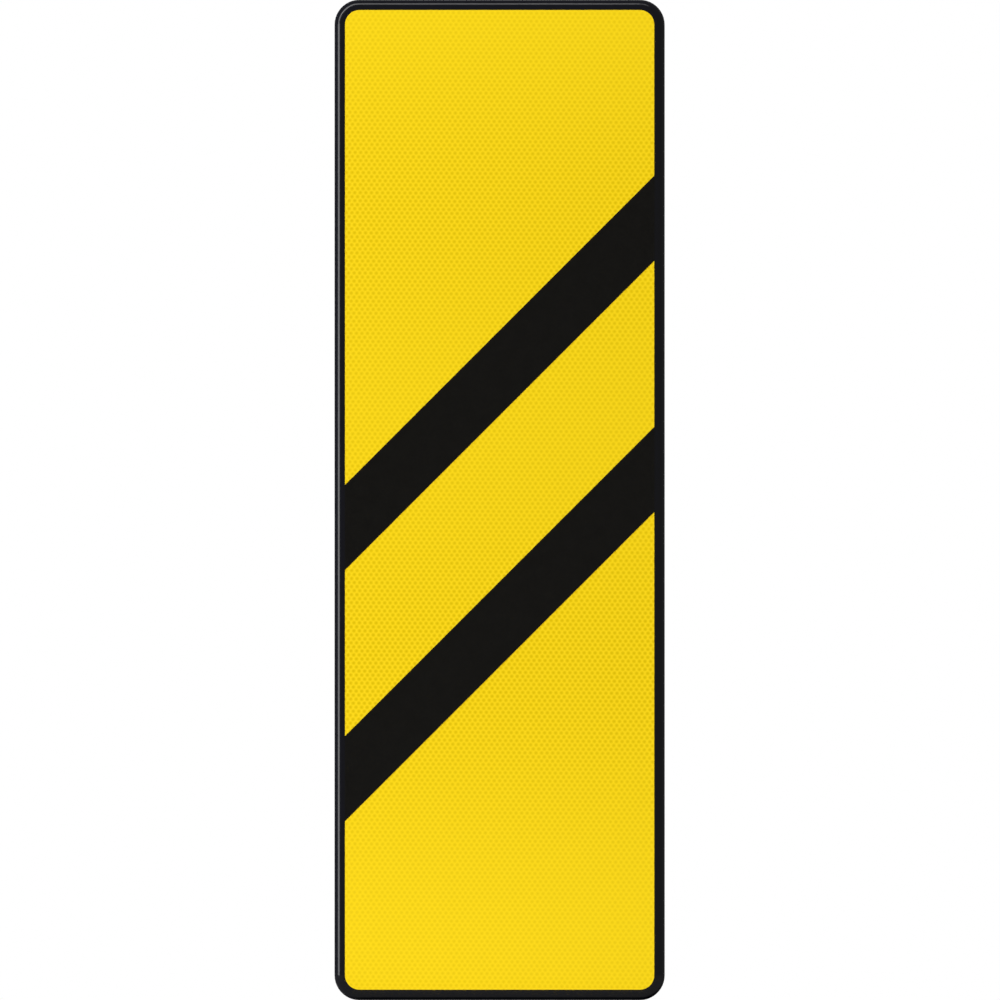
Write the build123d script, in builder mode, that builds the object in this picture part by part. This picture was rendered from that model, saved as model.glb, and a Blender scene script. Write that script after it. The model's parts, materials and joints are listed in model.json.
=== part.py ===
from build123d import *
from math import cos, radians
import os

# Warning beacon: a striped road marker board, held on a round post by two clamp brackets.
# Z is the post's axis, pointing up. The face looks along -Y and has +X on its right.
# The origin lies on the post's axis, halfway between the two brackets. Sizes are in millimetres.

# Sign panel: one sheet, folded twice all round
PANEL_WIDTH = 330.0
PANEL_HEIGHT = 1000.0
CORNER_RADIUS = 25.0
SHEET = 2.0
RIM_DEPTH = 20.0  # front of the face to the back of the lips
RIM_BEND_INNER = 8.0  # first fold, from the face to the side
LIP_BEND_INNER = 2.0  # second fold, from the side to the lip
LIP_WIDTH = 15.0  # side of the panel to the lip's free edge

# Films on the face
SHEETING = 0.5
SHEETING_INSET = 0.5  # sheeting's edge to the first fold
STRIPE_FILM = 0.15
STRIPE_WIDTH = 60.0
STRIPE_PITCH = 177.5  # between centre lines, square to the stripes
STRIPE_ANGLE = 45.0  # rising to the right
STRIPES_RAISED = 1.5  # middle of the pair above the panel's centre

# Post, which is not part of the object
POST_DIAMETER = 48.3

# Cross bars: U-section, open to the front, its flanges standing on the lips
BRACKET_SPACING = 600.0
BAR_HEIGHT = 40.0
BAR_DEPTH = 15.0
BAR_WALL = 3.0
BAR_BEND_INNER = 1.5
BAR_END_INSET = 5.0  # side of the panel to the bar's end
CLAMP_TRAVEL = 25.0  # sideways either way, in the bar's long slots
CLAW_SLOT_LENGTH = 6.0  # between the end arcs of the claw bolts' slots

# Lip claws: hooked under the lips, bolted to the bars' ends
CLAW_THICKNESS = 6.0
CLAW_CLEARANCE = 3.0  # foot to the lip's bend
CLAW_BOLT_INSET = 9.0  # bolt axis to the lip's free edge
CLAW_HEEL_SPAN = 6.0  # bolt axis to the heel
CLAW_HEEL_LENGTH = 6.0
CLAW_BOSS_DIAMETER = 15.0
CLAW_BOSS_HEIGHT = 3.0
CLAW_CORNER = 4.0
CLAW_TOE_BEVEL = 2.5

# Clamp saddles: between bar and post
SADDLE_WEB = 4.0  # thinnest place, behind the post
SADDLE_EAR = 6.0
SADDLE_GRIP_ANGLE = 50.0  # cradle to either side of its middle
SADDLE_SHOULDER = 4.3  # cradle to the flange's edge, above and below
SADDLE_ROOT_RADIUS = 2.5
LUG_THICKNESS = 4.0
LUG_DEPTH = 8.0  # over the bar's edges
LUG_LENGTH = 56.0
LUG_CLEARANCE = 0.3
CAST_EDGE = 1.0  # edge radius, and the bevel of the claws' bosses

# Clamp straps: bent round the back of the post
STRAP_THICKNESS = 4.0
STRAP_BEND_INNER = 4.0
STRAP_GAP = 5.0  # left between the ears for tightening
STRAP_CLEARANCE = 0.6  # legs to the saddle's horns
EAR_MARGIN = 11.0  # bolt axis to the ear's end
EAR_CORNER = 8.0

# Fasteners
BOLT_DIAMETER = 8.0
BOLT_CLEARANCE = 0.5  # round a bolt in a plain hole
THREAD_CLEARANCE = 0.1  # round a bolt in a threaded hole
NECK_CLEARANCE = 0.3  # square neck in the bar's slot
NECK_RELIEF = 0.5  # neck's end short of the bar's back
BOLT_TAIL = 6.0  # past the nut
BOLT_CHAMFER = 1.0
CUP_HEAD_DIAMETER = 20.0
CUP_HEAD_HEIGHT = 4.6
CUP_HEAD_BEVEL = 3.0
HEX_WIDTH = 13.0  # across flats
HEX_HEAD_HEIGHT = 5.3
FLANGE_DIAMETER = 18.0
FLANGE_HEIGHT = 1.6
CLAW_BOLT_TIP = 2.0  # past the claw's boss
NUT_HEX_HEIGHT = 6.5
NUT_COLLAR_DIAMETER = 12.0
NUT_COLLAR_HEIGHT = 1.5
NUT_COLLAR_BEVEL = 0.8
WASHER_DIAMETER = 16.0
WASHER_THICKNESS = 1.6
WASHER_CLEARANCE = 0.35  # washer to the strap's bend

# Depths, from the post's axis forward to the face
post_radius = POST_DIAMETER / 2
bar_back = -(post_radius + SADDLE_WEB)
web_front = bar_back - BAR_WALL
bar_front = bar_back - BAR_DEPTH
lip_back = bar_front
lip_front = lip_back - SHEET
face_front = lip_back - RIM_DEPTH
sheeting_front = face_front - SHEETING
claw_front = lip_front - CLAW_THICKNESS
claw_boss_front = claw_front - CLAW_BOSS_HEIGHT

# Depths, from the bar backward along a clamp bolt
saddle_ear_back = bar_back + SADDLE_EAR
strap_ear_front = saddle_ear_back + STRAP_GAP
strap_ear_back = strap_ear_front + STRAP_THICKNESS
washer_back = strap_ear_back + WASHER_THICKNESS
nut_back = washer_back + NUT_HEX_HEIGHT + NUT_COLLAR_HEIGHT
bolt_end = nut_back + BOLT_TAIL

# Distances from the middle, sideways
strap_outer = post_radius + STRAP_THICKNESS
bolt_offset = strap_outer + STRAP_BEND_INNER + WASHER_CLEARANCE + WASHER_DIAMETER / 2
ear_end = bolt_offset + EAR_MARGIN
bar_end = PANEL_WIDTH / 2 - BAR_END_INSET
lip_edge = PANEL_WIDTH / 2 - LIP_WIDTH
claw_bolt_offset = lip_edge - CLAW_BOLT_INSET
claw_toe = PANEL_WIDTH / 2 - SHEET - LIP_BEND_INNER - CLAW_CLEARANCE
claw_end = claw_bolt_offset - CLAW_HEEL_SPAN - CLAW_HEEL_LENGTH

# Sizes shared by pieces that fit together
rim_bend = RIM_BEND_INNER + SHEET
lip_bend = LIP_BEND_INNER + SHEET
bolt_radius = BOLT_DIAMETER / 2
bolt_hole_radius = bolt_radius + BOLT_CLEARANCE
thread_hole_radius = bolt_radius + THREAD_CLEARANCE
slot_width = BOLT_DIAMETER + 2 * NECK_CLEARANCE
lug_inner = BAR_HEIGHT / 2 + LUG_CLEARANCE
lug_span = 2 * (lug_inner + LUG_THICKNESS)
clamp_height = lug_span - 2 * SADDLE_SHOULDER

LEVELS = {"upper": BRACKET_SPACING / 2, "lower": -BRACKET_SPACING / 2}
SIDES = {"left": -1, "right": 1}


def facing(depth, across=0, level=0):
    """Plane that looks out of the face, with X to its right and Z up."""
    return Plane((across, depth, level), x_dir=(1, 0, 0), z_dir=(0, -1, 0))


def section(level):
    """Plane square to a cross bar, with Y to its right and Z up."""
    return Plane((0, 0, level), x_dir=(0, 1, 0), z_dir=(1, 0, 0))


def outermost(edges):
    """The edges furthest out to the left and right."""
    return edges.group_by(Axis.X)[0] + edges.group_by(Axis.X)[-1]


def save(piece, name):
    piece.part.label = name
    export_step(piece.part, f"parts/{name}.step")


def rim_block(inset):
    """The panel's rounded outer block, drawn in by inset on every side."""
    with BuildPart() as block:
        with BuildSketch(facing(lip_back - inset)):
            RectangleRounded(
                PANEL_WIDTH - 2 * inset, PANEL_HEIGHT - 2 * inset, CORNER_RADIUS - inset
            )
        extrude(amount=RIM_DEPTH - 2 * inset)
        fillet(block.edges().group_by(Axis.Y)[0], rim_bend - inset)
        fillet(block.edges().group_by(Axis.Y)[-1], lip_bend - inset)
    return block.part


def sign_panel():
    with BuildPart() as panel:
        add(rim_block(0))
        add(rim_block(SHEET), mode=Mode.SUBTRACT)
        with BuildSketch(facing(lip_back)):
            RectangleRounded(
                PANEL_WIDTH - 2 * LIP_WIDTH, PANEL_HEIGHT - 2 * LIP_WIDTH, CORNER_RADIUS - LIP_WIDTH
            )
        extrude(amount=SHEET, mode=Mode.SUBTRACT)
    return panel


def face_outline():
    """The sheeting's outline, just inside the first fold."""
    inset = rim_bend + SHEETING_INSET
    RectangleRounded(PANEL_WIDTH - 2 * inset, PANEL_HEIGHT - 2 * inset, CORNER_RADIUS - inset)


def yellow_sheeting():
    with BuildPart() as sheeting:
        with BuildSketch(facing(face_front)):
            face_outline()
        extrude(amount=SHEETING)
    return sheeting


def stripe(rise):
    """Diagonal film, cut off at the sheeting's edge, with its middle at this height."""
    with BuildPart() as film:
        with BuildSketch(facing(sheeting_front)):
            face_outline()
            with Locations((0, rise)):
                Rectangle(PANEL_HEIGHT, STRIPE_WIDTH, rotation=STRIPE_ANGLE, mode=Mode.INTERSECT)
        extrude(amount=STRIPE_FILM)
    return film


def cross_bar(level):
    with BuildPart() as bar:
        with BuildSketch(section(level)):
            with BuildLine():
                FilletPolyline(
                    (bar_front, BAR_HEIGHT / 2),
                    (bar_back, BAR_HEIGHT / 2),
                    (bar_back, -BAR_HEIGHT / 2),
                    (bar_front, -BAR_HEIGHT / 2),
                    radius=BAR_BEND_INNER + BAR_WALL,
                )
                offset(amount=BAR_WALL, side=Side.RIGHT)
            make_face()
        extrude(amount=bar_end, both=True)
        with BuildSketch(facing(bar_back, 0, level)):
            with Locations((-bolt_offset, 0), (bolt_offset, 0)):
                SlotCenterToCenter(2 * CLAMP_TRAVEL + slot_width, slot_width)
            with Locations((-claw_bolt_offset, 0), (claw_bolt_offset, 0)):
                SlotCenterToCenter(CLAW_SLOT_LENGTH, 2 * bolt_hole_radius)
        extrude(amount=BAR_WALL, mode=Mode.SUBTRACT)
    return bar


def lip_claw(level, side):
    with BuildPart() as claw:
        # Profile seen from above: toe under the lip, heel on the bar
        with BuildSketch(Plane.XY.offset(level)):
            with BuildLine():
                Polyline(
                    (side * claw_toe, lip_front),
                    (side * claw_toe, claw_front + CLAW_TOE_BEVEL),
                    (side * (claw_toe - CLAW_TOE_BEVEL), claw_front),
                    (side * claw_end, claw_front),
                    (side * claw_end, bar_front),
                    (side * (claw_end + CLAW_HEEL_LENGTH), bar_front),
                    (side * (claw_end + CLAW_HEEL_LENGTH), lip_front),
                    close=True,
                )
            make_face()
        extrude(amount=BAR_HEIGHT / 2, both=True)
        # Outline seen from the front
        with BuildSketch(facing(lip_front, side * (claw_toe + claw_end) / 2, level)):
            RectangleRounded(claw_toe - claw_end, BAR_HEIGHT, CLAW_CORNER)
        extrude(amount=CLAW_THICKNESS + SHEET, both=True, mode=Mode.INTERSECT)
        # Threaded boss
        with BuildSketch(facing(claw_front, side * claw_bolt_offset, level)):
            Circle(CLAW_BOSS_DIAMETER / 2)
        extrude(amount=CLAW_BOSS_HEIGHT)
        chamfer(claw.edges().group_by(Axis.Y)[0], CAST_EDGE)
        with Locations(facing(claw_front, side * claw_bolt_offset, level)):
            Hole(thread_hole_radius)
    return claw


def claw_bolt(level, side):
    seat = facing(bar_back, side * claw_bolt_offset, level)
    with BuildPart() as bolt:
        with BuildSketch(seat):
            Circle(FLANGE_DIAMETER / 2)
        extrude(amount=-FLANGE_HEIGHT)
        with BuildSketch(seat):
            RegularPolygon(HEX_WIDTH / 2, 6, major_radius=False)
        extrude(amount=-HEX_HEAD_HEIGHT)
        with BuildSketch(seat):
            Circle(bolt_radius)
        extrude(amount=bar_back - claw_boss_front + CLAW_BOLT_TIP)
        chamfer(bolt.edges().group_by(Axis.Y)[0], BOLT_CHAMFER)
    return bolt


def clamp_saddle(level):
    """Casting: a flange on the bar, lugs over the bar's edges, and a cradle for the post."""
    horn_side = post_radius - STRAP_CLEARANCE
    horn_tip = -post_radius * cos(radians(SADDLE_GRIP_ANGLE))
    with BuildPart() as saddle:
        with BuildSketch(facing(saddle_ear_back, 0, level)):
            RectangleRounded(2 * ear_end, lug_span, EAR_CORNER)
        extrude(amount=SADDLE_EAR)
        fillet(saddle.edges().group_by(Axis.Y)[-1], CAST_EDGE)
        with BuildSketch(facing(bar_back, 0, level)):
            with GridLocations(0, lug_span - LUG_THICKNESS, 1, 2):
                SlotOverall(LUG_LENGTH, LUG_THICKNESS)
        extrude(amount=LUG_DEPTH)
        with BuildSketch(facing(horn_tip, 0, level)):
            Rectangle(2 * horn_side, clamp_height)
        extrude(amount=horn_tip - saddle_ear_back)
        roots = saddle.edges().filter_by_position(Axis.Y, saddle_ear_back, saddle_ear_back)
        fillet(roots.filter_by_position(Axis.X, -horn_side, horn_side), SADDLE_ROOT_RADIUS)
        with BuildSketch(Plane.XY.offset(level)):
            Circle(post_radius)
        extrude(amount=lug_span, both=True, mode=Mode.SUBTRACT)
        with Locations(facing(bar_back, -bolt_offset, level), facing(bar_back, bolt_offset, level)):
            Hole(bolt_hole_radius)
    return saddle


def clamp_strap(level):
    with BuildPart() as strap:
        with BuildSketch(Plane.XY.offset(level)):
            with BuildLine():
                FilletPolyline(
                    (ear_end, strap_ear_front),
                    (post_radius, strap_ear_front),
                    (post_radius, 0),
                    radius=STRAP_BEND_INNER + STRAP_THICKNESS,
                )
                ThreePointArc((post_radius, 0), (0, post_radius), (-post_radius, 0))
                FilletPolyline(
                    (-post_radius, 0),
                    (-post_radius, strap_ear_front),
                    (-ear_end, strap_ear_front),
                    radius=STRAP_BEND_INNER + STRAP_THICKNESS,
                )
                offset(amount=STRAP_THICKNESS, side=Side.RIGHT)
            make_face()
        extrude(amount=clamp_height / 2, both=True)
        fillet(outermost(strap.edges().filter_by(Axis.Y)), EAR_CORNER)
        with Locations(
            facing(strap_ear_front, -bolt_offset, level), facing(strap_ear_front, bolt_offset, level)
        ):
            Hole(bolt_hole_radius)
    return strap


def clamp_bolt(level, side):
    """Carriage bolt: cup head inside the bar, square neck in its slot."""
    seat = facing(web_front, side * bolt_offset, level)
    with BuildPart() as bolt:
        with BuildSketch(seat):
            Circle(CUP_HEAD_DIAMETER / 2)
        extrude(amount=CUP_HEAD_HEIGHT)
        chamfer(bolt.edges().group_by(Axis.Y)[0], CUP_HEAD_BEVEL)
        with BuildSketch(seat):
            Rectangle(BOLT_DIAMETER, BOLT_DIAMETER)
        extrude(amount=NECK_RELIEF - BAR_WALL)
        with BuildSketch(seat):
            Circle(bolt_radius)
        extrude(amount=web_front - bolt_end)
        chamfer(bolt.edges().group_by(Axis.Y)[-1], BOLT_CHAMFER)
    return bolt


def clamp_washer(level, side):
    with BuildPart() as washer:
        with BuildSketch(facing(washer_back, side * bolt_offset, level)):
            Circle(WASHER_DIAMETER / 2)
            Circle(bolt_hole_radius, mode=Mode.SUBTRACT)
        extrude(amount=WASHER_THICKNESS)
    return washer


def clamp_nut(level, side):
    seat = facing(washer_back, side * bolt_offset, level)
    with BuildPart() as nut:
        with BuildSketch(seat):
            RegularPolygon(HEX_WIDTH / 2, 6, major_radius=False)
        extrude(amount=-NUT_HEX_HEIGHT)
        with BuildSketch(seat):
            Circle(NUT_COLLAR_DIAMETER / 2)
        extrude(amount=washer_back - nut_back)
        chamfer(nut.edges().group_by(Axis.Y)[-1], NUT_COLLAR_BEVEL)
        with Locations(seat):
            Hole(thread_hole_radius)
    return nut


os.makedirs("parts", exist_ok=True)

stripe_rise = STRIPE_PITCH / 2 / cos(radians(STRIPE_ANGLE))
save(sign_panel(), "sign_panel")
save(yellow_sheeting(), "yellow_sheeting")
save(stripe(STRIPES_RAISED + stripe_rise), "upper_stripe")
save(stripe(STRIPES_RAISED - stripe_rise), "lower_stripe")

for place, level in LEVELS.items():
    save(cross_bar(level), f"{place}_cross_bar")
    save(clamp_saddle(level), f"{place}_clamp_saddle")
    save(clamp_strap(level), f"{place}_clamp_strap")
    for hand, side in SIDES.items():
        save(lip_claw(level, side), f"{place}_{hand}_lip_claw")
        save(claw_bolt(level, side), f"{place}_{hand}_claw_bolt")
        save(clamp_bolt(level, side), f"{place}_{hand}_clamp_bolt")
        save(clamp_washer(level, side), f"{place}_{hand}_clamp_washer")
        save(clamp_nut(level, side), f"{place}_{hand}_clamp_nut")
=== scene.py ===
import bmesh
import bpy
import json
import math
from mathutils import Matrix, Vector


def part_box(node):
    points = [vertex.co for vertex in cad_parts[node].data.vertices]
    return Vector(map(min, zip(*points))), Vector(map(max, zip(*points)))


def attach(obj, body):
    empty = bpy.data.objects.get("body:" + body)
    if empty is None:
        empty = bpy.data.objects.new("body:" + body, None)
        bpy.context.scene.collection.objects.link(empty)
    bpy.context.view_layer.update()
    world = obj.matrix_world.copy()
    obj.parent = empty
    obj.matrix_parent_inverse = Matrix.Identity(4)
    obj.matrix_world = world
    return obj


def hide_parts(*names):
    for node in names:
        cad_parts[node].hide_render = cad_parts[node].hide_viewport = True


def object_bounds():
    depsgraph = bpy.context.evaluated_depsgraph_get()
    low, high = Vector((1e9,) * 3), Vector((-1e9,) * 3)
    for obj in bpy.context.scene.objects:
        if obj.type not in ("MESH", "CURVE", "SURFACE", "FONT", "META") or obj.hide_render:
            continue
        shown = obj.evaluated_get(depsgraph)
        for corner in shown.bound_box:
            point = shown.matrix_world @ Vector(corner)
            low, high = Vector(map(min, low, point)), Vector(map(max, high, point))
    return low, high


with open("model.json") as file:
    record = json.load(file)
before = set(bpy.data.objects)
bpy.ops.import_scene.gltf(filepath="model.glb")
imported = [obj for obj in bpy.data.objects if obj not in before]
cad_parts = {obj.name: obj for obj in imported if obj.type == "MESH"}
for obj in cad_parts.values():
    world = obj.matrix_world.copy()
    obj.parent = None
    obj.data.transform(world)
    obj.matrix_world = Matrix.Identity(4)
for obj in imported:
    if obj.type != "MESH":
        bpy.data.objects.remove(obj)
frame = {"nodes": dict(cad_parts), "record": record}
cad_low, cad_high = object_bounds()

# Lengths are in metres, and the fasteners' own sizes in millimetres
MM = 0.001
PLACES = ("upper", "lower")
HANDS = ("left", "right")
WHITE = (1, 1, 1, 1)
nodes = frame["nodes"]
carrier = {}
for body, members in frame["record"]["behaviour"]["bodies"].items():
    for node in members:
        carrier[node] = body


# Materials

# Yellow sheeting: its lattice, the bands in which the cells stand out, and its two colours
CELL_ACROSS = 5.545 * MM
CELL_ALONG = 8.034 * MM
CELL_RADIUS = 3.0 * MM
FILM_SHIFT = (-2.43 * MM, 0, -0.43 * MM)
FILM_TURN = math.radians(-0.48)
BAND_PERIOD = 480 * MM
BAND_CREST = -167 * MM
BAND_MIDDLE = 0.85
BAND_DEPTH = 0.16
END_FADE = 0.27
YELLOW_BRIGHT = (0.876, 0.631, 0.0113, 1)
YELLOW_CELL = (0.695, 0.458, 0.0, 1)

# Zinc: how far its crystals' edges wander
FLAKE_WARP = 6 * MM

# Where most of a noise's values lie, and the middle part of that
NOISE_SPAN = (0.3, 0.7)
NOISE_CORE = (0.35, 0.65)


class Graph:
    """A node tree, with short ways to add to it."""

    def __init__(self, tree):
        self.tree = tree

    def node(self, kind, inputs=None, **settings):
        made = self.tree.nodes.new(kind)
        for key, value in settings.items():
            setattr(made, key, value)
        for key, value in (inputs or {}).items():
            self.feed(made.inputs[key], value)
        return made

    def feed(self, socket, value):
        """A socket takes another node's output or a plain value."""
        if isinstance(value, bpy.types.NodeSocket):
            self.tree.links.new(value, socket)
        else:
            socket.default_value = value

    def compute(self, operation, *terms):
        return self.node("ShaderNodeMath", dict(enumerate(terms)), operation=operation).outputs[0]

    def shown(self):
        """1 for rays that come from the camera, a reflection or a clear piece, 0 for the rest."""
        path = self.node("ShaderNodeLightPath").outputs
        straight = self.compute("MAXIMUM", path["Is Camera Ray"], path["Is Glossy Ray"])
        return self.compute("MAXIMUM", straight, path["Is Transmission Ray"])


class Finish(Graph):
    """A material: its node tree round one Principled shader."""

    def __init__(self, name):
        self.material = bpy.data.materials.new(name)
        self.material.use_nodes = True
        super().__init__(self.material.node_tree)
        self.shader = self.tree.nodes["Principled BSDF"]
        self.place = self.node("ShaderNodeTexCoord").outputs["Object"]

    def set(self, **values):
        """The shader's inputs, named with underscores for spaces."""
        for key, value in values.items():
            self.feed(self.shader.inputs[key.replace("_", " ")], value)

    def noise(self, scale=1.0, detail=2.0, stretch=None):
        """Smooth noise in the object's coordinates, which stretch scales along each axis."""
        place = self.place
        if stretch:
            place = self.node("ShaderNodeMapping", {"Vector": place, "Scale": stretch}).outputs["Vector"]
        inputs = {"Vector": place, "Scale": scale, "Detail": detail}
        return self.node("ShaderNodeTexNoise", inputs).outputs["Fac"]

    def ramp(self, value, between, to=(0.0, 1.0)):
        """A smooth step from one pair of levels to another."""
        inputs = {"Value": value, "From Min": between[0], "From Max": between[1]}
        inputs.update({"To Min": to[0], "To Max": to[1]})
        return self.node("ShaderNodeMapRange", inputs, interpolation_type="SMOOTHSTEP").outputs["Result"]

    def nearest(self, value, shift, period):
        """Signed distance to the nearest of places a period apart."""
        return self.compute("WRAP", self.compute("ADD", value, shift), period / 2, -period / 2)

    def mix(self, share, start, end):
        """A colour between two. The node's names repeat for each kind of data, so sockets go by number."""
        return self.node("ShaderNodeMix", {0: share, 6: start, 7: end}, data_type="RGBA").outputs[2]

    def bump(self, height, depth, strength):
        inputs = {"Height": height, "Distance": depth, "Strength": strength}
        self.set(Normal=self.node("ShaderNodeBump", inputs).outputs["Normal"])


def grey(level, warmth=0.0):
    return (level * (1 + warmth), level, level * (1 - warmth), 1)


def yellow_film():
    """Prismatic sheeting, laid a touch askew: small round cells in a staggered lattice.

    The cells stand out more and less in broad bands, and fade towards the ends of the board."""
    look = Finish("yellow_film")
    laid = {"Vector": look.place, "Location": FILM_SHIFT, "Rotation": (0, FILM_TURN, 0)}
    film = look.node("ShaderNodeMapping", laid).outputs["Vector"]
    axes = look.node("ShaderNodeSeparateXYZ", {0: film}).outputs
    distances = []
    for stagger in (0.0, 0.5):
        x = look.nearest(axes["X"], stagger * CELL_ACROSS, CELL_ACROSS)
        z = look.nearest(axes["Z"], stagger * CELL_ALONG, CELL_ALONG)
        squares = look.compute("ADD", look.compute("MULTIPLY", x, x), look.compute("MULTIPLY", z, z))
        distances.append(look.compute("SQRT", squares))
    cells = look.ramp(look.compute("MINIMUM", *distances), between=(CELL_RADIUS, 0.0))
    above = look.compute("SUBTRACT", axes["Z"], BAND_CREST)
    wave = look.compute("COSINE", look.compute("MULTIPLY", above, math.tau / BAND_PERIOD))
    banded = look.compute("MULTIPLY_ADD", wave, BAND_DEPTH, BAND_MIDDLE)
    ends = look.compute("POWER", look.compute("DIVIDE", axes["Z"], cad_high.z), 2.0)
    strength = look.compute("MULTIPLY_ADD", ends, -END_FADE, banded)
    look.set(Base_Color=look.mix(look.compute("MULTIPLY", cells, strength), YELLOW_BRIGHT, YELLOW_CELL))
    look.set(Roughness=look.ramp(look.noise(60.0), NOISE_SPAN, to=(0.36, 0.46)), Specular_IOR_Level=0.04)
    look.bump(cells, depth=0.01 * MM, strength=0.3)
    return look.material


def black_film():
    """Overlay film with a faint mottle."""
    look = Finish("black_film")
    black = (0.0020, 0.0017, 0.0011, 1)
    blacker = (0.0012, 0.0010, 0.0006, 1)
    mottle = look.ramp(look.noise(300.0, detail=3.0), NOISE_CORE)
    look.set(Base_Color=look.mix(mottle, black, blacker))
    look.set(Roughness=look.ramp(look.noise(90.0), NOISE_SPAN, to=(0.4, 0.5)), Specular_IOR_Level=0.064)
    look.bump(look.noise(1400.0, detail=1.0), depth=0.004 * MM, strength=0.5)
    return look.material


def black_coat():
    """Semi-gloss paint with a fine orange peel."""
    look = Finish("black_coat")
    black = (0.0002, 0.0003, 0.0018, 1)
    paler = (0.0006, 0.0007, 0.0026, 1)
    mottle = look.ramp(look.noise(200.0, detail=3.0), NOISE_SPAN)
    look.set(Base_Color=look.mix(mottle, black, paler))
    look.set(Roughness=look.ramp(look.noise(120.0), NOISE_SPAN, to=(0.4, 0.5)), Specular_IOR_Level=0.0)
    look.set(Coat_Weight=0.075, Coat_Roughness=0.15, Coat_IOR=2.0)
    look.bump(look.noise(900.0, detail=1.0), depth=0.004 * MM, strength=0.3)
    return look.material


def mill_aluminium():
    """Bare rolled sheet: fine lines along the sheet and faint water marks."""
    look = Finish("mill_aluminium")
    lines = look.noise(detail=3.0, stretch=(1500, 1500, 14))
    marks = look.ramp(look.noise(detail=5.0, stretch=(30, 30, 7)), between=(0.42, 0.75))
    bands = look.noise(stretch=(90, 90, 0.6))
    grain = look.ramp(look.compute("ADD", lines, bands), between=(0.6, 1.4))
    sheet = look.mix(grain, grey(0.52), grey(0.66))
    stained = look.mix(look.compute("MULTIPLY", marks, 0.5), sheet, grey(0.55, 0.004))
    rough = look.ramp(lines, NOISE_SPAN, to=(0.38, 0.42))
    look.set(Base_Color=stained, Metallic=1.0)
    look.set(Roughness=look.compute("ADD", rough, look.compute("MULTIPLY", marks, 0.05)))
    look.bump(lines, depth=0.006 * MM, strength=0.5)
    return look.material


def galvanised():
    """Hot-dip zinc: crystal flakes a few millimetres across, dulled by weather."""
    look = Finish("galvanised_steel")
    warp = look.node("ShaderNodeTexNoise", {"Vector": look.place, "Scale": 120.0}).outputs["Color"]
    bend = {0: warp, 1: (FLAKE_WARP, FLAKE_WARP, FLAKE_WARP), 2: look.place}
    bent = look.node("ShaderNodeVectorMath", bend, operation="MULTIPLY_ADD").outputs[0]
    flakes = look.node("ShaderNodeTexVoronoi", {"Vector": bent, "Scale": 260.0}).outputs["Color"]
    tone = look.node("ShaderNodeSeparateColor", {0: flakes}).outputs
    dull = look.ramp(look.noise(40.0, detail=5.0), between=(0.45, 0.7))
    bright = look.mix(tone["Red"], grey(0.34, -0.01), grey(0.47, -0.015))
    weathered = look.mix(look.compute("MULTIPLY", dull, 0.55), bright, grey(0.44, -0.01))
    rough = look.ramp(tone["Green"], between=(0.0, 1.0), to=(0.34, 0.52))
    look.set(Base_Color=weathered, Metallic=1.0)
    look.set(Roughness=look.compute("ADD", rough, look.compute("MULTIPLY", dull, 0.12)))
    relief = look.compute("ADD", look.noise(500.0, detail=3.0), tone["Blue"])
    look.bump(relief, depth=0.012 * MM, strength=0.4)
    return look.material


def cast_aluminium():
    """Grainy casting with soft stains."""
    look = Finish("cast_aluminium")
    grain = look.noise(1500.0)
    lumps = look.compute("MULTIPLY", look.noise(250.0), 2.0)
    stain = look.ramp(look.noise(70.0, detail=4.0), between=(0.4, 0.7))
    look.set(Base_Color=look.mix(stain, grey(0.48, 0.005), grey(0.38, 0.01)), Metallic=1.0)
    look.set(Roughness=look.ramp(grain, NOISE_SPAN, to=(0.5, 0.66)))
    look.bump(look.compute("ADD", grain, lumps), depth=0.05 * MM, strength=0.6)
    return look.material


def stainless():
    """Bright fastener steel with faint handling marks."""
    look = Finish("stainless_steel")
    fine = look.noise(700.0, detail=3.0)
    marks = look.ramp(look.noise(150.0, detail=3.0), NOISE_CORE)
    look.set(Base_Color=look.mix(marks, grey(0.60, 0.02), grey(0.50, 0.02)), Metallic=1.0)
    look.set(Roughness=look.ramp(fine, NOISE_SPAN, to=(0.24, 0.38)))
    look.bump(fine, depth=0.004 * MM, strength=0.5)
    return look.material


def nylon():
    look = Finish("nylon")
    pale = (0.62, 0.66, 0.68, 1)
    paler = (0.74, 0.77, 0.78, 1)
    look.set(Base_Color=look.mix(look.noise(300.0), pale, paler))
    look.set(Roughness=look.ramp(look.noise(400.0), NOISE_SPAN, to=(0.4, 0.5)))
    return look.material


YELLOW = yellow_film()
STRIPE = black_film()
COAT = black_coat()
MILL = mill_aluminium()

# Finishes of added pieces, each a material and the record's slot
ZINC = (galvanised(), "galvanised_steel")
CAST = (cast_aluminium(), "cast_aluminium")
STEEL = (stainless(), "stainless_steel")
NYLON = (nylon(), None)


# Pieces

# Folded panel
CORNER_RADIUS = 25 * MM
FOLD_RADIUS = 10 * MM

# Edge roundings, and the turns between faces that count as flat, smooth and sharp
BAR_EDGE = 0.4 * MM
STRAP_EDGE = 0.5 * MM
CAST_EDGE = 0.6 * MM
EDGE_SEGMENTS = 3
FLAT_ANGLE = math.radians(0.6)
SMOOTH_ANGLE = math.radians(32)
SHARP_ANGLE = math.radians(50)
WELD = 0.001 * MM

# Fasteners, in millimetres
SHANK = 3.95
TIP_BEVEL = 0.9
CUP_RADIUS = 9.9
CUP_HEIGHT = 4.0
NECK_FLAT = 3.9
NECK_CUT = 0.4
HEX_FLAT = 6.45
HEX_CUT = 0.15
HEX_FACE = 6.1
NUT_BORE = 4.05
PITCH = 1.25
GROOVE = 0.70

# Half a crest and a flank of the thread, as shares of the pitch, and the slant of a turned hexagon
HALF_CREST = 1 / 16
FLANK = 5 / 16
HEX_SLOPE = math.tan(math.radians(30))

# Facets of turned pieces
SEGMENTS = 48
STEP = math.tau / SEGMENTS
ROWS_PER_PITCH = 8
CUP_RINGS = 8


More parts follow.
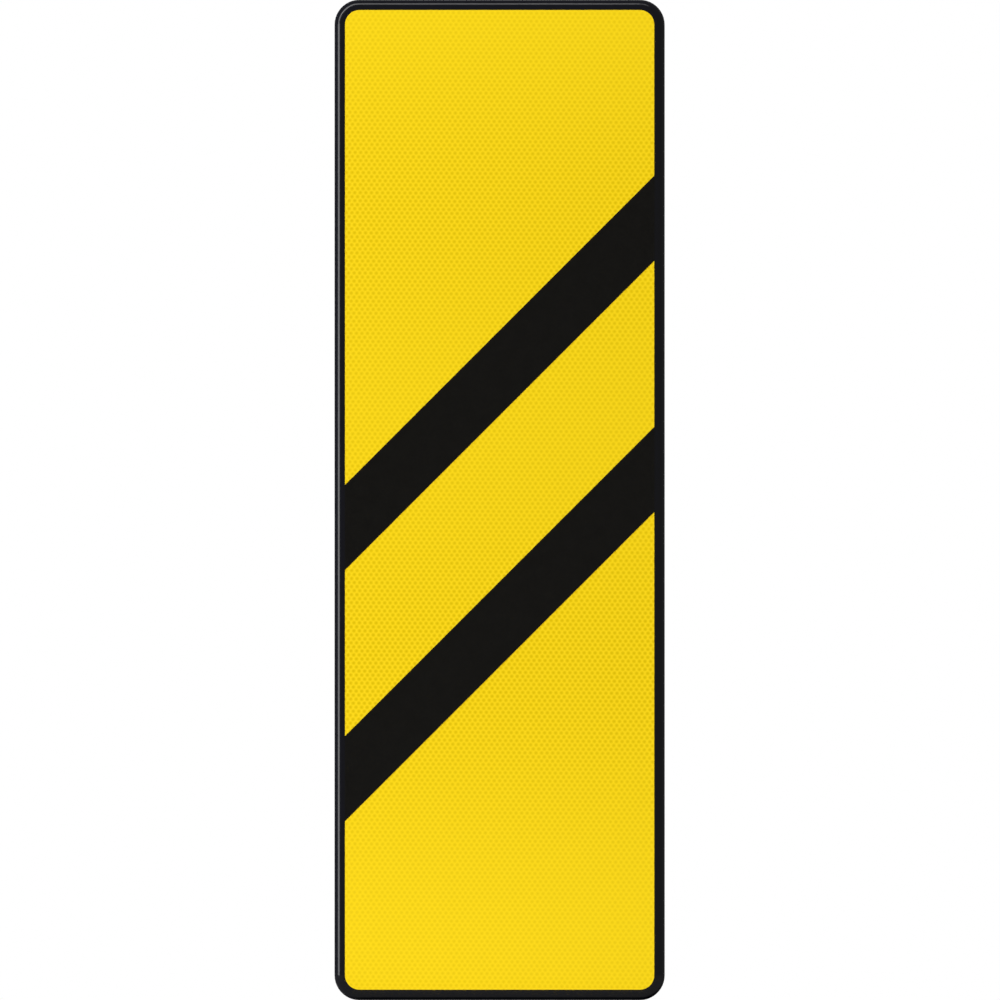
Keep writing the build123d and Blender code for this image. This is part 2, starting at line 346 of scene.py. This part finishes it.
def dress(piece, *materials):
    piece.data.materials.clear()
    for material in materials:
        piece.data.materials.append(material)


def add_piece(name, shape, node, finish):
    """A bmesh in the row frame becomes a piece that rides with the CAD node's body."""
    mesh = bpy.data.meshes.new(name)
    shape.to_mesh(mesh)
    shape.free()
    if "custom_normal" in mesh.attributes:
        mesh.attributes.remove(mesh.attributes["custom_normal"])
    mesh.polygons.foreach_set("use_smooth", [True] * len(mesh.polygons))
    mesh.set_sharp_from_angle(angle=SMOOTH_ANGLE)
    piece = bpy.data.objects.new(name, mesh)
    bpy.context.scene.collection.objects.link(piece)
    material, slot = finish
    dress(piece, material)
    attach(piece, carrier[node])
    return piece


def eased(node, radius, finish):
    """A copy of a CAD node with its sharp outer edges rounded, standing for the node."""
    shape = bmesh.new()
    shape.from_mesh(nodes[node].data)
    bmesh.ops.remove_doubles(shape, verts=shape.verts, dist=WELD)
    bmesh.ops.dissolve_limit(shape, angle_limit=FLAT_ANGLE, verts=shape.verts, edges=shape.edges)
    sharp = [edge for edge in shape.edges if edge.is_convex and edge.calc_face_angle() > SHARP_ANGLE]
    rounding = {"offset": radius, "segments": EDGE_SEGMENTS, "profile": 0.5, "affect": "EDGES"}
    bmesh.ops.bevel(shape, geom=sharp, **rounding)
    bmesh.ops.remove_doubles(shape, verts=shape.verts, dist=WELD)
    piece = add_piece(node + "_eased", shape, node, finish)
    piece.modifiers.new("even_faces", "WEIGHTED_NORMAL").keep_sharp = True
    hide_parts(node)


def length_of(node):
    """The node's length from front to back, in millimetres."""
    low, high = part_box(node)
    return (high.y - low.y) / MM


def circles(*outline):
    """Round slices, each from a distance and a radius."""
    return [[point] * SEGMENTS for point in outline]


def prism(along, sides, flat, corner_at, corner_cut):
    """One slice of a regular prism; corner_at turns it, corner_cut blunts its corners."""
    reach = flat / math.cos(math.pi / sides) - corner_cut
    ring = []
    for i in range(SEGMENTS):
        angle = (i * STEP - corner_at) % (math.tau / sides) - math.pi / sides
        ring.append((along, min(flat / math.cos(angle), reach)))
    return ring


def turned_end(ring, face, along, inward):
    """A prism's end turned on the slant: each point drops by its reach past the face's circle."""
    return [(along + inward * HEX_SLOPE * max(0.0, radius - face), radius) for _, radius in ring]


def thread(start, end):
    """Slices of a screw thread that fades in at its start and is bevelled at its end."""
    count = round((end - start) / PITCH * ROWS_PER_PITCH)
    slices = []
    for row in range(count + 1):
        along = start + (end - start) * row / count
        share = min(1.0, (along - start) / PITCH)
        cone = SHANK - max(0.0, TIP_BEVEL - (end - along))
        ring = []
        for i in range(SEGMENTS):
            turn = (along / PITCH - i / SEGMENTS) % 1.0
            groove = min(max((min(turn, 1.0 - turn) - HALF_CREST) / FLANK, 0.0), 1.0)
            ring.append((along, min(SHANK - GROOVE * groove * share, cone)))
        slices.append(ring)
    return slices


def dome(radius, height, rings):
    """Slices of a shallow round head, from near its crown to its rim."""
    ball = (radius ** 2 + height ** 2) / (2 * height)
    slices = []
    for i in range(1, rings + 1):
        reach = radius * math.sin(math.pi / 2 * i / rings)
        slices += circles((ball - math.sqrt(ball ** 2 - reach ** 2), reach))
    return slices


def turned(name, node, slices, finish, backward=False, hole=False):
    """A piece about the node's axis, made of slices of (distance, radius) in millimetres.

    Distances run from the node's front end, or from its back end forward. With a hole the
    last slice joins the first, and otherwise both ends are closed."""
    low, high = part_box(node)
    start = high.y if backward else low.y
    step = -MM if backward else MM
    shape = bmesh.new()
    rings = []
    for ring in slices:
        points = []
        for i, (along, radius) in enumerate(ring):
            x = (low.x + high.x) / 2 + radius * MM * math.cos(i * STEP)
            z = (low.z + high.z) / 2 + radius * MM * math.sin(i * STEP)
            points.append(shape.verts.new((x, start + step * along, z)))
        rings.append(points)
    pairs = list(zip(rings, rings[1:]))
    if hole:
        pairs.append((rings[-1], rings[0]))
    else:
        shape.faces.new(rings[0])
        shape.faces.new(rings[-1])
    for near, far in pairs:
        for i in range(SEGMENTS):
            j = (i + 1) % SEGMENTS
            shape.faces.new((near[i], near[j], far[j], far[i]))
    bmesh.ops.recalc_face_normals(shape, faces=shape.faces)
    return add_piece(name, shape, node, finish)


def clamp_bolt(node):
    """Carriage bolt: domed head, square neck, thread to the tip."""
    head_end = 4.6
    neck_end = 6.9
    thread_start = 10.5
    slices = dome(CUP_RADIUS, CUP_HEIGHT, CUP_RINGS)
    slices += circles((4.3, 9.95), (head_end, 9.8))
    slices += [prism(along, 4, NECK_FLAT, math.pi / 4, NECK_CUT) for along in (head_end, neck_end)]
    slices += circles((7.1, SHANK))
    slices += thread(thread_start, length_of(node))
    piece = turned(node + "_threaded", node, slices, STEEL)
    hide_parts(node)


def claw_bolt(node, corner_at):
    """Flange bolt, from its hexagon down to its tip."""
    hex_end = 3.6
    flange_end = 5.3
    thread_start = 16.0
    hexagon = prism(hex_end, 6, HEX_FLAT, corner_at, HEX_CUT)
    slices = circles((0.25, 4.6), (0.0, 5.0), (0.0, HEX_FACE))
    slices += [turned_end(hexagon, HEX_FACE, 0.0, 1), hexagon]
    slices += circles((3.9, 7.75), (4.5, 8.8), (4.75, 8.95), (5.2, 8.95), (flange_end, 8.8))
    slices += circles((flange_end, SHANK))
    slices += thread(thread_start, length_of(node))
    piece = turned(node + "_threaded", node, slices, STEEL, backward=True)
    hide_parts(node)


def clamp_nut(node, corner_at):
    """Locking nut: a hexagon turned at both ends, with a rolled collar round a nylon ring."""
    hex_end = 6.6
    collar_face = 6.0
    collar = 5.95
    seat = 6.4
    seat_radius = 5.0
    hexagon = prism(0.0, 6, HEX_FLAT, corner_at, HEX_CUT)
    slices = circles((0.7, NUT_BORE), (0.0, 4.75), (0.0, HEX_FACE))
    slices += [turned_end(hexagon, HEX_FACE, 0.0, 1), turned_end(hexagon, collar_face, hex_end, -1)]
    slices += circles((hex_end, collar), (7.3, collar), (7.75, 5.8), (7.95, 5.45), (7.95, 5.2))
    slices += circles((7.7, seat_radius), (seat, seat_radius), (seat, NUT_BORE))
    piece = turned(node + "_locking", node, slices, STEEL, hole=True)
    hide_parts(node)
    ring = circles((6.45, 4.95), (7.35, 4.95), (7.6, 4.7), (7.6, 4.25), (7.4, 4.0), (6.45, 4.0))
    turned(node + "_ring", node, ring, NYLON, hole=True)


def clamp_washer(node):
    """Plain washer with rounded edges."""
    bore = 4.35
    eased_bore = 4.5
    rim = 7.95
    thickness = 1.6
    slices = circles((0.15, bore), (0.0, eased_bore), (0.0, 7.7), (0.1, 7.88), (0.35, rim))
    slices += circles((1.35, rim), (1.52, 7.88), (thickness, 7.7), (thickness, eased_bore), (1.45, bore))
    piece = turned(node + "_rounded", node, slices, STEEL, hole=True)
    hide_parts(node)


def held_within(value, reach):
    return min(max(value, -reach), reach)


def dress_panel():
    """Black paint on the outside of the folded sheet, bare metal inside it.

    Outer faces look away from the nearest point of the panel's middle, short of its round corners."""
    panel = nodes["sign_panel"]
    dress(panel, COAT, MILL)
    low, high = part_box("sign_panel")
    middle = (low.y + high.y) / 2
    reach_x = high.x - CORNER_RADIUS
    reach_z = high.z - CORNER_RADIUS
    for face in panel.data.polygons:
        x = held_within(face.center.x, reach_x)
        z = held_within(face.center.z, reach_z)
        outward = face.center - Vector((x, middle, z))
        face.material_index = 0 if face.normal.dot(outward) > 0 else 1


dress_panel()
dress(nodes["yellow_sheeting"], YELLOW)
for i, place in enumerate(PLACES):
    dress(nodes[f"{place}_stripe"], STRIPE)
    eased(f"{place}_cross_bar", BAR_EDGE, ZINC)
    eased(f"{place}_clamp_strap", STRAP_EDGE, ZINC)
    eased(f"{place}_clamp_saddle", CAST_EDGE, CAST)
    for j, hand in enumerate(HANDS):
        side = f"{place}_{hand}_"
        eased(side + "lip_claw", CAST_EDGE, CAST)
        clamp_bolt(side + "clamp_bolt")
        clamp_washer(side + "clamp_washer")
        # Each nut and bolt head stands turned by a few steps of its own
        clamp_nut(side + "clamp_nut", (2 * i + 3 * j) * STEP)
        claw_bolt(side + "claw_bolt", (1 + 3 * i + 5 * j) * STEP)


# Stage, light and camera

# Floor: how far it is plain, and where it has faded out
FLOOR_PLAIN = 0.7
FLOOR_REACH = 2.0

# Light
AMBIENT_SIDE = 0.06
AMBIENT_TOP = 0.16
STRIP_DISTANCE = 8.0
REAR_DISTANCE = 3.2

# Camera: the photograph's height and middle at the rim, and a sensor in millimetres
CAMERA_DISTANCE = 45.0
SENSOR = 36.0
PHOTO_HEIGHT = 0.99935
PHOTO_RIGHT = 0.37 * MM
PHOTO_UP = -0.10 * MM


def pale_floor():
    """Plain pale floor that fades out into the white background and is clear from below.

    The light that it throws back on the object is that of a darker grey."""
    look = Finish("pale_floor")
    pale = look.mix(look.noise(3.0, detail=3.0), grey(0.86), grey(0.88))
    darker = grey(0.32)
    look.set(Base_Color=look.mix(look.shown(), darker, pale), Roughness=0.9, Specular_IOR_Level=0.0)
    away = look.node("ShaderNodeVectorMath", {0: look.place}, operation="LENGTH").outputs["Value"]
    below = look.node("ShaderNodeNewGeometry").outputs["Backfacing"]
    clear = look.compute("MAXIMUM", look.ramp(away, between=(FLOOR_PLAIN, FLOOR_REACH)), below)
    gone = look.node("ShaderNodeBsdfTransparent").outputs[0]
    faded = look.node("ShaderNodeMixShader", {0: clear, 1: look.shader.outputs[0], 2: gone})
    look.feed(look.tree.nodes["Material Output"].inputs["Surface"], faded.outputs[0])
    return look.material


def floor():
    """A square under the object's foot."""
    reach = FLOOR_REACH
    corners = [(-reach, -reach, 0), (reach, -reach, 0), (reach, reach, 0), (-reach, reach, 0)]
    mesh = bpy.data.meshes.new("floor")
    mesh.from_pydata(corners, [], [(0, 1, 2, 3)])
    plane = bpy.data.objects.new("floor", mesh)
    plane.location = (0, 0, cad_low.z)
    bpy.context.scene.collection.objects.link(plane)
    dress(plane, pale_floor())


def soft_light(name, off_axis, turn, length, breadth, radiance, distance=STRIP_DISTANCE):
    """A flat light aimed at the origin, off the view's axis and turned from the right towards up.

    Its length lies along the circle round the axis, its breadth towards the axis."""
    lamp = bpy.data.lights.new(name, "AREA")
    lamp.shape = "RECTANGLE"
    lamp.size = length
    lamp.size_y = breadth
    lamp.energy = radiance * math.pi * length * breadth
    tilt = math.radians(off_axis)
    around = math.radians(turn)
    outward = Vector((math.cos(around), 0, math.sin(around)))
    along = Vector((-math.sin(around), 0, math.cos(around)))
    away = outward * math.sin(tilt) - Vector((0, 1, 0)) * math.cos(tilt)
    light = bpy.data.objects.new(name, lamp)
    light.location = away * distance
    light.rotation_euler = Matrix((along, away.cross(along), away)).transposed().to_euler()
    light.visible_camera = False
    bpy.context.scene.collection.objects.link(light)


def white_world():
    """White to the camera and in reflections, and a soft light from above on the rest."""
    world = bpy.data.worlds.new("studio")
    bpy.context.scene.world = world
    world.use_nodes = True
    world.node_tree.nodes.clear()
    sky = Graph(world.node_tree)
    direction = sky.node("ShaderNodeTexCoord").outputs["Generated"]
    height = sky.node("ShaderNodeSeparateXYZ", {0: direction}).outputs["Z"]
    levels = {"Value": height, "From Min": 0.0, "To Min": AMBIENT_SIDE, "To Max": AMBIENT_TOP}
    ambient = sky.node("ShaderNodeMapRange", levels, clamp=True).outputs["Result"]
    soft = sky.node("ShaderNodeBackground", {"Color": WHITE, "Strength": ambient}).outputs[0]
    plain = sky.node("ShaderNodeBackground", {"Color": WHITE}).outputs[0]
    chosen = sky.node("ShaderNodeMixShader", {0: sky.shown(), 1: soft, 2: plain}).outputs[0]
    sky.node("ShaderNodeOutputWorld", {"Surface": chosen})


def camera():
    """The photograph's view from far off, at the floor's height, so that the floor is seen edge on."""
    data = bpy.data.cameras.new("camera")
    data.sensor_width = SENSOR
    data.lens = SENSOR * CAMERA_DISTANCE / PHOTO_HEIGHT
    data.clip_end = 2 * CAMERA_DISTANCE
    view = bpy.data.objects.new("camera", data)
    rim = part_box("sign_panel")[0].y + FOLD_RADIUS
    view.location = (PHOTO_RIGHT, rim - CAMERA_DISTANCE, cad_low.z)
    aim = Vector((PHOTO_RIGHT, rim, PHOTO_UP)) - view.location
    view.rotation_euler = aim.to_track_quat("-Z", "Y").to_euler()
    bpy.context.scene.collection.objects.link(view)
    bpy.context.scene.camera = view


floor()
white_world()
soft_light("left_strip", off_axis=70.5, turn=178, length=2.1, breadth=3.0, radiance=19.5)
soft_light("corner_strip", off_axis=71.5, turn=135.5, length=10.4, breadth=1.85, radiance=23)
soft_light("top_strip", off_axis=70.5, turn=94.5, length=1.75, breadth=1.8, radiance=16.5)
soft_light("right_end_strip", off_axis=70.5, turn=76, length=2.4, breadth=1.1, radiance=10)
soft_light("rear_box", off_axis=130, turn=90, length=2.8, breadth=1.6, radiance=0.7,
           distance=REAR_DISTANCE)
camera()
bpy.context.scene.view_settings.view_transform = "Standard"
